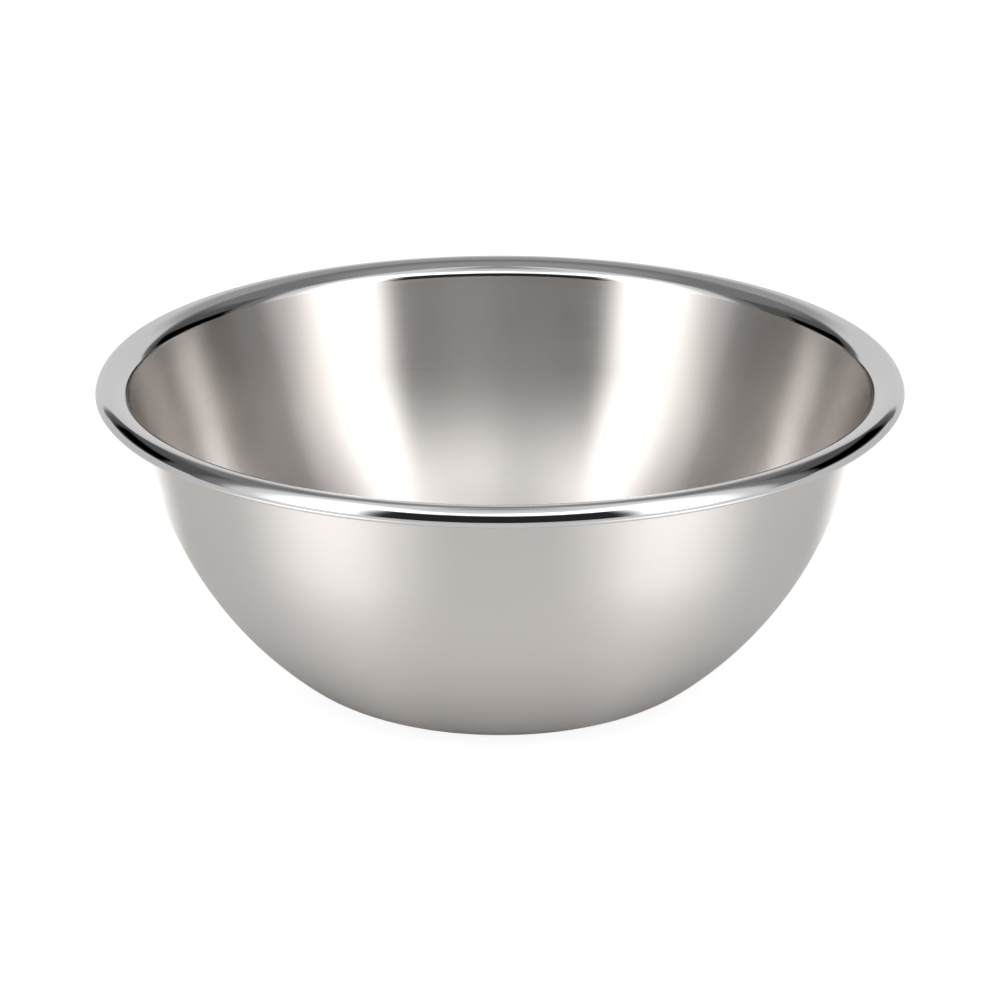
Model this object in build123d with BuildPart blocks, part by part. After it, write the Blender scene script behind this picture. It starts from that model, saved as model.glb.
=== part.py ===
"""Mixing bowl pressed from one disc of stainless steel sheet, with a wide rolled rim.

Origin at the middle of the flat base, on the surface that it rests on. +Z is the
bowl's axis, upwards. The section is drawn once and turned about that axis.
"""

from build123d import *
import math
import os

# Overall sizes, millimetres
rim_diameter = 250.0  # over the outside of the rolled rim
height = 100.0  # from the base to the crest of the rim
sheet = 0.8  # thickness, the same all over

# Wall, on its inner face. The base is what the wall leaves inside it.
wall_angle = 73.5  # slope of the straight upper wall, degrees from level
upper_wall = 29.4  # length of that straight
corner_radius = 34.0  # from the flat base up into the side
corner_turn = 38.4  # slope where the corner meets the long curve of the side

# Rolled rim: outside radii of the roll, and the turn that each one makes, degrees
curl_radius = 1.4  # tucks the sheet under, back towards the wall
curl_turn = 95.0
shoulder_radius = 5.8  # slopes down to the outermost line
shoulder_turn = 45.0
crest_radius = 2.0  # highest line of the rim
crest_turn = 45.0
land_radius = 10.0  # gently crowned top, falling towards the inside
land_turn = 35.0
roll_radius = 5.0  # from the land over into the inner wall
hem_gap = 0.5  # between the cut edge under the rim and the wall


def reach(arcs):
    """How far tangent arcs, each a radius and a left turn, run across and upwards.

    The first arc starts level and outward.
    """
    across = up = heading = 0.0
    for radius, turn in arcs:
        start, end = math.radians(heading), math.radians(heading + turn)
        across += radius * (math.sin(end) - math.sin(start))
        up += radius * (math.cos(start) - math.cos(end))
        heading += turn
    return across, up


# The rim's arcs, from its lowest line round to the top of the inner wall
outer_arcs = [(curl_radius, curl_turn), (shoulder_radius, shoulder_turn)]
outer_turn = curl_turn + shoulder_turn
roll_turn = 180 + wall_angle - outer_turn - crest_turn - land_turn
rim_arcs = outer_arcs + [
    (crest_radius, crest_turn),
    (land_radius, land_turn),
    (roll_radius, roll_turn),
]

# The rim is highest where its section has turned through half a circle.
rim_depth = reach(outer_arcs + [(crest_radius, 180 - outer_turn)])[1]
hem_height = height - rim_depth
rim_across, rim_up = reach(rim_arcs)
wall_top_radius = rim_diameter / 2 - curl_radius + rim_across
wall_top_height = hem_height + rim_up

# The side's curve takes up what height the corner and the straight leave it.
slope = math.radians(wall_angle)
corner_rise = reach([(corner_radius, corner_turn)])[1]
side_rise = wall_top_height - sheet - corner_rise - upper_wall * math.sin(slope)
side_radius = side_rise / (math.cos(math.radians(corner_turn)) - math.cos(slope))
wall_arcs = [(corner_radius, corner_turn), (side_radius, wall_angle - corner_turn)]
base_radius = wall_top_radius - reach(wall_arcs)[0] - upper_wall * math.cos(slope)

# Under the rim the cut edge stops short of the wall's outer face.
hem_top = hem_height + sheet
wall_outside = (
    wall_top_radius
    + sheet / math.sin(slope)
    - (wall_top_height - hem_top) / math.tan(slope)
)
hem_edge = wall_outside + hem_gap


def sheet_face(depth):
    """One face of the sheet, from the axis to the cut edge, that far below the skin.

    The skin, at depth 0, is the inside of the bowl and the outside of the rim.
    """
    with BuildLine() as face:
        run = Line((0, sheet - depth), (base_radius, sheet - depth))
        for radius, turn in wall_arcs:
            run = JernArc(run @ 1, run % 1, radius + depth, turn)
        run = Line(run @ 1, run @ 1 + (run % 1) * upper_wall)
        for radius, turn in reversed(rim_arcs):
            run = JernArc(run @ 1, run % 1, radius - depth, -turn)
        Line(run @ 1, (hem_edge, hem_height + depth))
    return face.line


with BuildPart() as bowl:
    with BuildSketch(Plane.XZ):
        with BuildLine():
            add(sheet_face(0))
            add(sheet_face(sheet))
            Line((0, 0), (0, sheet))
            Line((hem_edge, hem_height), (hem_edge, hem_top))
        make_face()
    revolve(axis=Axis.Z)
bowl.part.label = "bowl"

os.makedirs("parts", exist_ok=True)
export_step(bowl.part, "parts/bowl.step")

print(f"flat base {2 * base_radius:.2f} mm across, side curve radius {side_radius:.2f} mm")
print(f"inside diameter at the top of the wall {2 * wall_top_radius:.2f} mm")
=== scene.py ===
"""A stainless steel mixing bowl standing on a white studio table."""
import math

import bpy
import numpy as np
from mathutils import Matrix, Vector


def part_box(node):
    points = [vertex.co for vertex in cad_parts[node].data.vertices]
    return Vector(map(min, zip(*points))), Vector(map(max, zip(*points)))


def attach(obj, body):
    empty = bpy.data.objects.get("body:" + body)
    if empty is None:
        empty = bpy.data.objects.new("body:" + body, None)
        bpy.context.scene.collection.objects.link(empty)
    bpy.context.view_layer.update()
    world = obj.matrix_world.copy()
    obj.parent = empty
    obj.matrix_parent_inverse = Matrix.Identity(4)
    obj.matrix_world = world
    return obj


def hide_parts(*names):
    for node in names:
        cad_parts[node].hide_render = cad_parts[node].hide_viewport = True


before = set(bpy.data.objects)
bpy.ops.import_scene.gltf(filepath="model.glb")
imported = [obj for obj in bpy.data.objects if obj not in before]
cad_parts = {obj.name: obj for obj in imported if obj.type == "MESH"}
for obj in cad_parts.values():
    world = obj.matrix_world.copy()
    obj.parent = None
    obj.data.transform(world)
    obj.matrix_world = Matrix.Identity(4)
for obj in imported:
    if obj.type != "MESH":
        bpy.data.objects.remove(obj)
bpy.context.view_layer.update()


# ---------------------------------------------------------------- camera
# A long lens, a metre and a half away and half a metre above the table, looks
# down into the bowl. Distances follow the bowl's own radius and height.

bowl_low, bowl_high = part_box("bowl")
rim_radius = min(bowl_high.x - bowl_low.x, bowl_high.y - bowl_low.y) / 2
bowl_height = bowl_high.z - bowl_low.z

camera_distance = 12 * rim_radius
camera_tilt = math.radians(19.97)
aim_height = 0.577 * bowl_height

camera_data = bpy.data.cameras.new("studio_camera")
camera_data.sensor_width = 36.0
camera_data.lens = 172.9
camera_data.clip_start = 0.05
camera_data.clip_end = 50.0
camera = bpy.data.objects.new("studio_camera", camera_data)
bpy.context.scene.collection.objects.link(camera)
camera.location = (
    0.0,
    -camera_distance * math.cos(camera_tilt),
    aim_height + camera_distance * math.sin(camera_tilt),
)
camera.rotation_euler = (math.radians(90) - camera_tilt, 0.0, 0.0)
bpy.context.scene.camera = camera
bpy.context.scene.view_settings.view_transform = "Standard"


# ---------------------------------------------------------------- bowl
# One disc of 0.8 mm stainless steel sheet, pressed to a flat base and a curved
# wall. Its edge is rolled outward and tucked under into a wide hollow rim, and
# the same section runs all the way round.

sheet = 0.0008
wall_slope = 73.5
upper_wall = 0.0294
corner_radius = 0.034
corner_turn = 38.4

# The arcs of the rim, each a radius and the degrees that it turns, from the
# tucked-in hem round the outside, over the top and down to the wall
curl = (0.0014, 95.0)
shoulder = (0.0058, 45.0)
crest = (0.0020, 45.0)
land = (0.0100, 35.0)
roll = (0.0050, 180 + wall_slope - curl[1] - shoulder[1] - crest[1] - land[1])
hem_gap = 0.0005

# How finely the mesh is cut: segments round the bowl, and degrees to a step along
# the wall, the skin of the rim and the hidden back of the sheet
segments_round = 360
rim_step = 2.5
back_step = 7.5
wall_step = 1.6
walls, rim = 0, 1


def arc_reach(arcs):
    """Across and up that tangent arcs run, the first one starting level."""
    across = up = heading = 0.0
    for radius, turn in arcs:
        start, end = math.radians(heading), math.radians(heading + turn)
        across += radius * (math.sin(end) - math.sin(start))
        up += radius * (math.cos(start) - math.cos(end))
        heading += turn
    return across, up


# The rim hangs from the full height, and the side curve and the flat base take
# up what the rim, the upper wall and the corner leave
slope = math.radians(wall_slope)
top_turn = 180 - curl[1] - shoulder[1]
hem_height = bowl_height - arc_reach([curl, shoulder, (crest[0], top_turn)])[1]
rim_across, rim_up = arc_reach([curl, shoulder, crest, land, roll])
wall_top = (rim_radius - curl[0] + rim_across, hem_height + rim_up)
corner_rise = arc_reach([(corner_radius, corner_turn)])[1]
side_rise = wall_top[1] - sheet - corner_rise - upper_wall * math.sin(slope)
side_radius = side_rise / (math.cos(math.radians(corner_turn)) - math.cos(slope))
wall_arcs = [(corner_radius, corner_turn), (side_radius, wall_slope - corner_turn)]
base_radius = wall_top[0] - arc_reach(wall_arcs)[0] - upper_wall * math.cos(slope)
hem_edge = (
    wall_top[0]
    + sheet / math.sin(slope)
    - (wall_top[1] - hem_height - sheet) / math.tan(slope)
    + hem_gap
)


def sheet_face(depth, step):
    """Stations along one face of the sheet: radius, height, heading, zone.

    Arcs get a station every step degrees. A corner is two stations in one place.
    """
    stations = [(0.0, sheet - depth, 0.0, walls)]

    def straight(length, pieces, zone):
        for _ in range(pieces):
            radius, height, heading, _ = stations[-1]
            stations.append((
                radius + length / pieces * math.cos(math.radians(heading)),
                height + length / pieces * math.sin(math.radians(heading)),
                heading,
                zone,
            ))

    def arc(radius, turn, spacing, zone):
        x, z, heading, _ = stations[-1]
        side = math.copysign(1.0, turn)
        count = max(3, round(abs(turn) / spacing))
        for i in range(1, count + 1):
            now = heading + turn * i / count
            a, b = math.radians(heading), math.radians(now)
            stations.append((
                x + side * radius * (math.sin(b) - math.sin(a)),
                z + side * radius * (math.cos(a) - math.cos(b)),
                now,
                zone,
            ))

    straight(base_radius, 6, walls)
    for radius, turn in wall_arcs:
        arc(radius + depth, turn, wall_step, walls)
    straight(upper_wall, 8, walls)
    for radius, turn in (roll, land, crest, shoulder, curl):
        arc(radius - depth, -turn, step, rim)
    straight(stations[-1][0] - hem_edge, 2, rim)
    return stations


skin = sheet_face(0.0, rim_step)
back = sheet_face(sheet, back_step)

# Down the skin, across the cut edge, and home along the back of the sheet
outline = skin + [
    (*skin[-1][:2], 90.0, rim),
    (*back[-1][:2], 90.0, rim),
] + [(x, z, heading + 180, zone) for x, z, heading, zone in reversed(back)]


same_place = 1e-7


def turned_mesh(name, stations, segments):
    """A closed mesh turned about Z, with each corner's normal taken from its heading."""
    vertices, rings = [], []
    turns = np.arange(segments) * (2 * math.pi / segments)
    place = None
    for x, z, _, _ in stations:
        if place is None or math.hypot(x - place[0], z - place[1]) > same_place:
            place = (x, z)
            first = len(vertices)
            if x < same_place:
                vertices.append((0.0, 0.0, z))
                ring = np.full(segments, first)
            else:
                vertices += [(x * math.cos(t), x * math.sin(t), z) for t in turns]
                ring = first + np.arange(segments)
        rings.append(ring)
    faces, normals, zones = [], [], []
    for i in range(len(stations) - 1):
        here, there = rings[i], rings[i + 1]
        if here[0] == there[0]:
            continue
        leans = [math.radians(stations[j][2] + 90) for j in (i, i + 1)]
        for k in range(segments):
            m = (k + 1) % segments
            corners = [
                (here[k], leans[0], k),
                (there[k], leans[1], k),
                (there[m], leans[1], m),
                (here[m], leans[0], m),
            ]
            if here[0] == here[-1]:
                corners.pop()
            if there[0] == there[-1]:
                corners.pop(2)
            faces.append([int(c[0]) for c in corners])
            normals += [
                (
                    math.cos(lean) * math.cos(turns[j]),
                    math.cos(lean) * math.sin(turns[j]),
                    math.sin(lean),
                )
                for _, lean, j in corners
            ]
            zones.append(max(stations[i][3], stations[i + 1][3]))
    mesh = bpy.data.meshes.new(name)
    mesh.from_pydata(vertices, [], faces)
    mesh.polygons.foreach_set("use_smooth", [True] * len(faces))
    mesh.polygons.foreach_set("material_index", zones)
    mesh.normals_split_custom_set(normals)
    return mesh


bowl = bpy.data.objects.new("mixing_bowl", turned_mesh("mixing_bowl", outline, segments_round))
bpy.context.scene.collection.objects.link(bowl)


def colour(code):
    """Linear RGBA of an sRGB hex colour."""
    channels = [int(code[i : i + 2], 16) / 255 for i in (0, 2, 4)]
    return (
        *(c / 12.92 if c <= 0.04045 else ((c + 0.055) / 1.055) ** 2.4 for c in channels),
        1.0,
    )


def add_node(tree, kind, settings=None, inputs=None):
    """A node with its settings; each input, by name or place, is a value or a socket to link."""
    node = tree.nodes.new(kind)
    for name, value in (settings or {}).items():
        setattr(node, name, value)
    for place, value in (inputs or {}).items():
        if isinstance(value, bpy.types.NodeSocket):
            tree.links.new(value, node.inputs[place])
        else:
            node.inputs[place].default_value = value
    return node


# Stainless steel, brushed on a lathe with a fine belt. The scratches run round
# the bowl, so each light spreads up and down the wall into a soft upright streak.
satin = bpy.data.materials.new("stainless_steel_satin_brushed")
satin.use_nodes = True
tree = satin.node_tree
tree.nodes.clear()

# Scratches of a 180-grit belt are 0.08 mm apart; drawn at 0.5 mm, or they would
# not show. Each fades out after about a sixth of a turn.
scratch_spacing = 0.0005
scratches_round = 6.0
place = add_node(tree, "ShaderNodeTexCoord")
split = add_node(tree, "ShaderNodeSeparateXYZ", inputs={"Vector": place.outputs["Object"]})
level_place = add_node(
    tree,
    "ShaderNodeVectorMath",
    {"operation": "MULTIPLY"},
    {0: place.outputs["Object"], 1: (1.0, 1.0, 0.0)},
)
reach = add_node(
    tree, "ShaderNodeVectorMath", {"operation": "LENGTH"}, {0: level_place.outputs["Vector"]}
)
turn = add_node(
    tree, "ShaderNodeVectorMath", {"operation": "NORMALIZE"}, {0: level_place.outputs["Vector"]}
)
turn_scaled = add_node(
    tree,
    "ShaderNodeVectorMath",
    {"operation": "SCALE"},
    {0: turn.outputs["Vector"], "Scale": scratches_round / (2 * math.pi)},
)
turn_split = add_node(tree, "ShaderNodeSeparateXYZ", inputs={"Vector": turn_scaled.outputs["Vector"]})
rise = add_node(
    tree, "ShaderNodeMath", {"operation": "DIVIDE"}, {0: split.outputs["Z"], 1: scratch_spacing}
)
run = add_node(
    tree, "ShaderNodeMath", {"operation": "DIVIDE"}, {0: reach.outputs["Value"], 1: scratch_spacing}
)
scratch_place = add_node(
    tree,
    "ShaderNodeCombineXYZ",
    inputs={"X": turn_split.outputs["X"], "Y": turn_split.outputs["Y"], "Z": rise.outputs[0]},
)
scratches = add_node(
    tree,
    "ShaderNodeTexNoise",
    {"noise_dimensions": "4D"},
    {
        "Vector": scratch_place.outputs["Vector"],
        "W": run.outputs[0],
        "Scale": 1.0,
        "Detail": 2.0,
        "Roughness": 0.6,
    },
)

# The belt presses a little harder in some places, in cloudy patches 40 mm across
patch_width = 0.04
patches = add_node(
    tree,
    "ShaderNodeTexNoise",
    {"noise_dimensions": "3D"},
    {"Vector": place.outputs["Object"], "Scale": 1 / patch_width, "Detail": 1.0},
)
wear = add_node(
    tree,
    "ShaderNodeMix",
    {"data_type": "FLOAT"},
    {"Factor": 0.35, "A": scratches.outputs["Fac"], "B": patches.outputs["Fac"]},
)
satin_roughness = add_node(
    tree,
    "ShaderNodeMapRange",
    inputs={
        "Value": wear.outputs[0],
        "From Min": 0.25,
        "From Max": 0.75,
        "To Min": 0.225,
        "To Max": 0.275,
    },
)
satin_colour = add_node(
    tree,
    "ShaderNodeMix",
    {"data_type": "RGBA"},
    {"Factor": wear.outputs[0], 6: colour("DEDAD6"), 7: colour("E6E1DE")},
)
tangent = add_node(tree, "ShaderNodeTangent", {"direction_type": "RADIAL", "axis": "Z"})
steel = add_node(
    tree,
    "ShaderNodeBsdfPrincipled",
    inputs={
        "Base Color": satin_colour.outputs[2],
        "Metallic": 1.0,
        "Roughness": satin_roughness.outputs[0],
        "Anisotropic": 1.0,
        "Anisotropic Rotation": 0.25,
        "Tangent": tangent.outputs["Tangent"],
    },
)
add_node(tree, "ShaderNodeOutputMaterial", inputs={"Surface": steel.outputs["BSDF"]})

# Stainless steel, buffed to a mirror on the rim with a soft wheel. The wheel
# leaves a faint haze in patches 15 mm across, which just softens the reflections.
polished = bpy.data.materials.new("stainless_steel_mirror_polished")
polished.use_nodes = True
tree = polished.node_tree
tree.nodes.clear()
haze_width = 0.015
place = add_node(tree, "ShaderNodeTexCoord")
haze = add_node(
    tree,
    "ShaderNodeTexNoise",
    {"noise_dimensions": "3D"},
    {"Vector": place.outputs["Object"], "Scale": 1 / haze_width, "Detail": 2.0},
)
rim_roughness = add_node(
    tree,
    "ShaderNodeMapRange",
    inputs={
        "Value": haze.outputs["Fac"],
        "From Min": 0.3,
        "From Max": 0.7,
        "To Min": 0.045,
        "To Max": 0.075,
    },
)
steel = add_node(
    tree,
    "ShaderNodeBsdfPrincipled",
    inputs={
        "Base Color": colour("DEDDDE"),
        "Metallic": 1.0,
        "Roughness": rim_roughness.outputs[0],
    },
)
add_node(tree, "ShaderNodeOutputMaterial", inputs={"Surface": steel.outputs["BSDF"]})

bowl.data.materials.append(satin)
bowl.data.materials.append(polished)
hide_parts("bowl")
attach(bowl, "root")


# ---------------------------------------------------------------- table
# A smooth white paper sheet laid flat, which looks evenly lit to the camera. The steel sees it as a
# duller grey, with four painted pools of light round the bowl and painted shade under it, all painted
# into the paper's emission.

table_reach = 4.0
table = bpy.data.objects.new("table", bpy.data.meshes.new("table"))
table.data.from_pydata(
    [(x * table_reach, y * table_reach, 0.0) for x, y in ((-1, -1), (1, -1), (1, 1), (-1, 1))],
    [],
    [(0, 1, 2, 3)],
)
bpy.context.scene.collection.objects.link(table)

# White wove paper, rolled matt. It has no gloss and no grain that shows at this
# distance, so all that the eye gets is its tone.
paper = bpy.data.materials.new("white_wove_paper_rolled_matt")
paper.use_nodes = True
tree = paper.node_tree
tree.nodes.clear()
place = add_node(tree, "ShaderNodeTexCoord")

# Each painted pool of light is bright to 20 mm from its middle and fades out at 145 mm. The rest
# of the table is painted dark under the bowl, a painted shade, and painted lit from 120 mm outward.
painted_pool_middle = (0.175, 0.185, 0.0)
mirrored = add_node(
    tree, "ShaderNodeVectorMath", {"operation": "ABSOLUTE"}, {0: place.outputs["Object"]}
)
to_painted_pool = add_node(
    tree,
    "ShaderNodeVectorMath",
    {"operation": "DISTANCE"},
    {0: mirrored.outputs["Vector"], 1: painted_pool_middle},
)
painted_pool = add_node(
    tree,
    "ShaderNodeMapRange",
    {"interpolation_type": "SMOOTHSTEP"},
    {"Value": to_painted_pool.outputs["Value"], "From Min": 0.145, "From Max": 0.02, "To Max": 0.95},
)
# Painted glow over the open table, left dark under the bowl as painted shade
to_bowl = add_node(
    tree, "ShaderNodeVectorMath", {"operation": "LENGTH"}, {0: place.outputs["Object"]}
)
painted_glow_beyond_bowl = add_node(
    tree,
    "ShaderNodeMapRange",
    {"interpolation_type": "SMOOTHSTEP"},
    {"Value": to_bowl.outputs["Value"], "From Min": 0.055, "From Max": 0.12, "To Max": 0.23},
)
painted_glow = add_node(
    tree, "ShaderNodeMath", {"operation": "ADD"}, {0: painted_pool.outputs[0], 1: painted_glow_beyond_bowl.outputs[0]}
)
# What the steel sees: grey paper with the painted pools and painted glow added as emission
seen_by_steel = add_node(
    tree,
    "ShaderNodeBsdfPrincipled",
    inputs={
        "Base Color": colour("D6D6D6"),
        "Roughness": 0.5,
        "Emission Color": colour("FFFFFF"),
        "Emission Strength": painted_glow.outputs[0],
    },
)
seen_by_eye = add_node(
    tree,
    "ShaderNodeBsdfPrincipled",
    inputs={
        "Base Color": colour("898989"),
        "Roughness": 1.0,
        "Emission Color": colour("FFFFFF"),
        "Emission Strength": 0.9,
    },
)
path = add_node(tree, "ShaderNodeLightPath")
either = add_node(
    tree,
    "ShaderNodeMixShader",
    inputs={0: path.outputs["Is Camera Ray"], 1: seen_by_steel.outputs[0], 2: seen_by_eye.outputs[0]},
)
add_node(tree, "ShaderNodeOutputMaterial", inputs={"Surface": either.outputs["Shader"]})
table.data.materials.append(paper)


# ---------------------------------------------------------------- light tent
# Two tall soft lights stand at the front corners and others hang over the camera.
# Behind is a pale backdrop; the gaps between them are dark and give the contrast.
# The camera itself sees plain white all round.

room_level = 0.28

# Name; degrees round from the back to its middle, half its width and how soft its
# sides are; degrees up to its bottom and top and how soft they are; brightness
panels = [
    ("ceiling", 0, 200, 5, 66, 100, 14, 0.45),
    ("backdrop_top", 0, 35, 5, -40, 54, 10, 0.5),
    ("backdrop", 0, 35, 5, -40, 34, 12, 0.92),
    ("left_gap_edge", -64, 26, 8, -40, 38, 12, 0.13),
    ("right_gap_edge", 63, 24, 8, -40, 42, 12, 0.13),
    ("left_gap", -60, 15, 5, 5, 22, 6, 0.0),
    ("right_gap", 64, 19, 5, 5, 24, 6, 0.0),
    ("horizon_left", -64, 24, 6, -10, 2, 3, 0.9),
    ("horizon_right", 64, 22, 6, -10, 2, 3, 0.9),
    ("overhead_light", 180, 80, 30, 42, 72, 20, 1.0),
    ("overhead_strip", 180, 50, 20, 37, 50, 10, 2.4),
    ("overhead_light_right", 156, 24, 20, 37, 51, 12, 3.0),
    ("left_fill", -147, 12, 18, 24, 50, 14, 2.6),
    ("right_fill", 145, 12, 18, 24, 50, 14, 2.6),
    ("left_light", -120, 20, 10, -40, 90, 20, 1.0),
    ("right_light", 120, 20, 10, -40, 90, 20, 1.0),
    ("left_lamp", -131, 15, 20, -40, 54, 20, 3.0),
    ("right_lamp", 131, 15, 20, -40, 54, 20, 3.0),
    ("room_behind_camera", 180, 38, 14, -40, 38, 6, 0.03),
]

world = bpy.data.worlds.new("light_tent")
bpy.context.scene.world = world
world.use_nodes = True
tree = world.node_tree
tree.nodes.clear()
direction = add_node(tree, "ShaderNodeTexCoord")
along = add_node(tree, "ShaderNodeSeparateXYZ", inputs={"Vector": direction.outputs["Generated"]})
bearing_angle = add_node(
    tree, "ShaderNodeMath", {"operation": "ARCTAN2"}, {0: along.outputs["X"], 1: along.outputs["Y"]}
)
bearing = add_node(tree, "ShaderNodeMath", {"operation": "DEGREES"}, {0: bearing_angle.outputs[0]})
lift_angle = add_node(tree, "ShaderNodeMath", {"operation": "ARCSINE"}, {0: along.outputs["Z"]})
lift = add_node(tree, "ShaderNodeMath", {"operation": "DEGREES"}, {0: lift_angle.outputs[0]})

# Each panel is laid over the ones before it, fading out at its sides and ends
light = room_level
for name, middle, half_width, side_softness, bottom, top, end_softness, level in panels:
    off_middle = add_node(
        tree, "ShaderNodeMath", {"operation": "SUBTRACT"}, {0: bearing.outputs[0], 1: middle}
    )
    off_middle = add_node(
        tree, "ShaderNodeMath", {"operation": "WRAP"}, {0: off_middle.outputs[0], 1: 180.0, 2: -180.0}
    )
    aside = add_node(tree, "ShaderNodeMath", {"operation": "ABSOLUTE"}, {0: off_middle.outputs[0]})
    cover = 1.0
    for value, edge, softness in (
        (aside, half_width, -side_softness),
        (lift, top, -end_softness),
        (lift, bottom, end_softness),
    ):
        step = add_node(
            tree,
            "ShaderNodeMapRange",
            {"interpolation_type": "SMOOTHSTEP"},
            {
                "Value": value.outputs[0],
                "From Min": edge - softness / 2,
                "From Max": edge + softness / 2,
                "To Max": cover,
            },
        )
        cover = step.outputs[0]
    laid = add_node(
        tree,
        "ShaderNodeMix",
        {"data_type": "FLOAT", "label": name},
        {"Factor": cover, "A": light, "B": level},
    )
    light = laid.outputs[0]
tent = add_node(tree, "ShaderNodeBackground", inputs={"Strength": light})
white = add_node(tree, "ShaderNodeBackground", inputs={"Color": colour("FFFFFF")})
path = add_node(tree, "ShaderNodeLightPath")
either = add_node(
    tree,
    "ShaderNodeMixShader",
    inputs={0: path.outputs["Is Camera Ray"], 1: tent.outputs[0], 2: white.outputs[0]},
)
add_node(tree, "ShaderNodeOutputWorld", inputs={"Surface": either.outputs["Shader"]})
